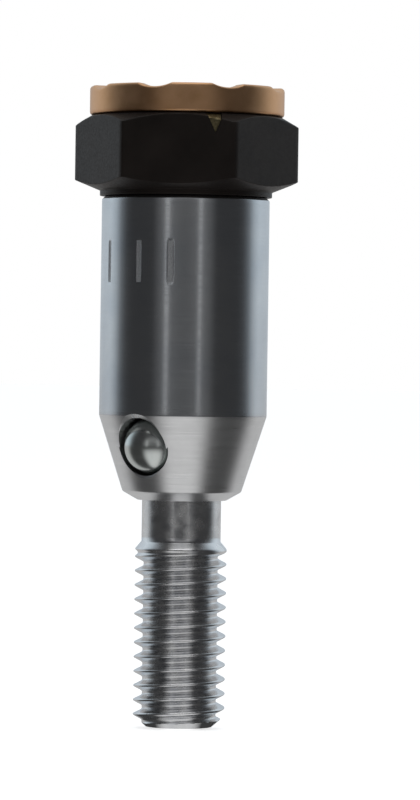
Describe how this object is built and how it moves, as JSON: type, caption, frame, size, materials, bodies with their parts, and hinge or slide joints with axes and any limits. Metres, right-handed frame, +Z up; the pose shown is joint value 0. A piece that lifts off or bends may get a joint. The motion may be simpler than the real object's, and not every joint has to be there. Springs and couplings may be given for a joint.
{
  "type": "quick change tool post",
  "caption": "Ball-lock tool post: threaded draw stud, ground sleeve with a tapered nose and side balls, black hexagon head and bronze finger ring.",
  "frame": {"origin": "centre of the stud's lower end face, on the post's axis", "axes": "+Z up the post's axis from the threaded end to the ring; X through the centres of the two lock balls; -X is the ball that faces the front left"},
  "size_m": [0.0196, 0.017, 0.0556],
  "materials": {
    "ground_steel": "hardened steel, cylindrically ground",
    "stud_steel": "turned and rolled steel, bright",
    "black_steel": "black oxide on milled steel",
    "bronze": "turned bearing bronze, lightly handled",
    "ball_steel": "polished bearing steel",
    "spring_steel": "hardened spring steel",
    "seal_rubber": "black nitrile"
  },
  "bodies": {
    "stud": {"draw_stud": "stud_steel", "stop_washer": "stud_steel", "stem_circlip": "spring_steel", "lower_spring_seat": "stud_steel", "return_spring": "spring_steel"},
    "sleeve": {"post_body": "ground_steel", "nose_seal": "seal_rubber", "upper_spring_seat": "stud_steel", "guide_bush": "bronze", "key_screw": "black_steel", "thrust_washer": "bronze"},
    "front_ball": {"lock_ball_front": "ball_steel"},
    "rear_ball": {"lock_ball_rear": "ball_steel"},
    "head": {"hex_head": "black_steel", "stem_seal": "seal_rubber", "finger_ring": "bronze", "ring_circlip": "spring_steel", "ring_dowel_right": "spring_steel", "ring_dowel_left": "spring_steel", "index_mark": "bronze"}
  },
  "joints": [
    {"name": "sleeve_travel", "type": "slide", "parent": "stud", "child": "sleeve", "axis": [0, 0, -1], "range_m": [0, 0.00091], "deforming": ["return_spring"]},
    {"name": "head_turn", "type": "hinge", "parent": "sleeve", "child": "head", "pos_m": [0, 0, 0.0498], "axis": [0, 0, -1], "range_deg": [0, 324]},
    {"name": "front_ball_out", "type": "slide", "parent": "sleeve", "child": "front_ball", "axis": [-1, 0, 0], "range_m": [0, 0.00077]},
    {"name": "rear_ball_out", "type": "slide", "parent": "sleeve", "child": "rear_ball", "axis": [1, 0, 0], "range_m": [0, 0.00077]}
  ],
  "couplings": [
    {"joint": "sleeve_travel", "follows": "head_turn", "m_per_rad": 0.00015915},
    {"joint": "front_ball_out", "follows": "head_turn", "m_per_rad": 0.00013355},
    {"joint": "rear_ball_out", "follows": "head_turn", "m_per_rad": 0.00013355}
  ]
}
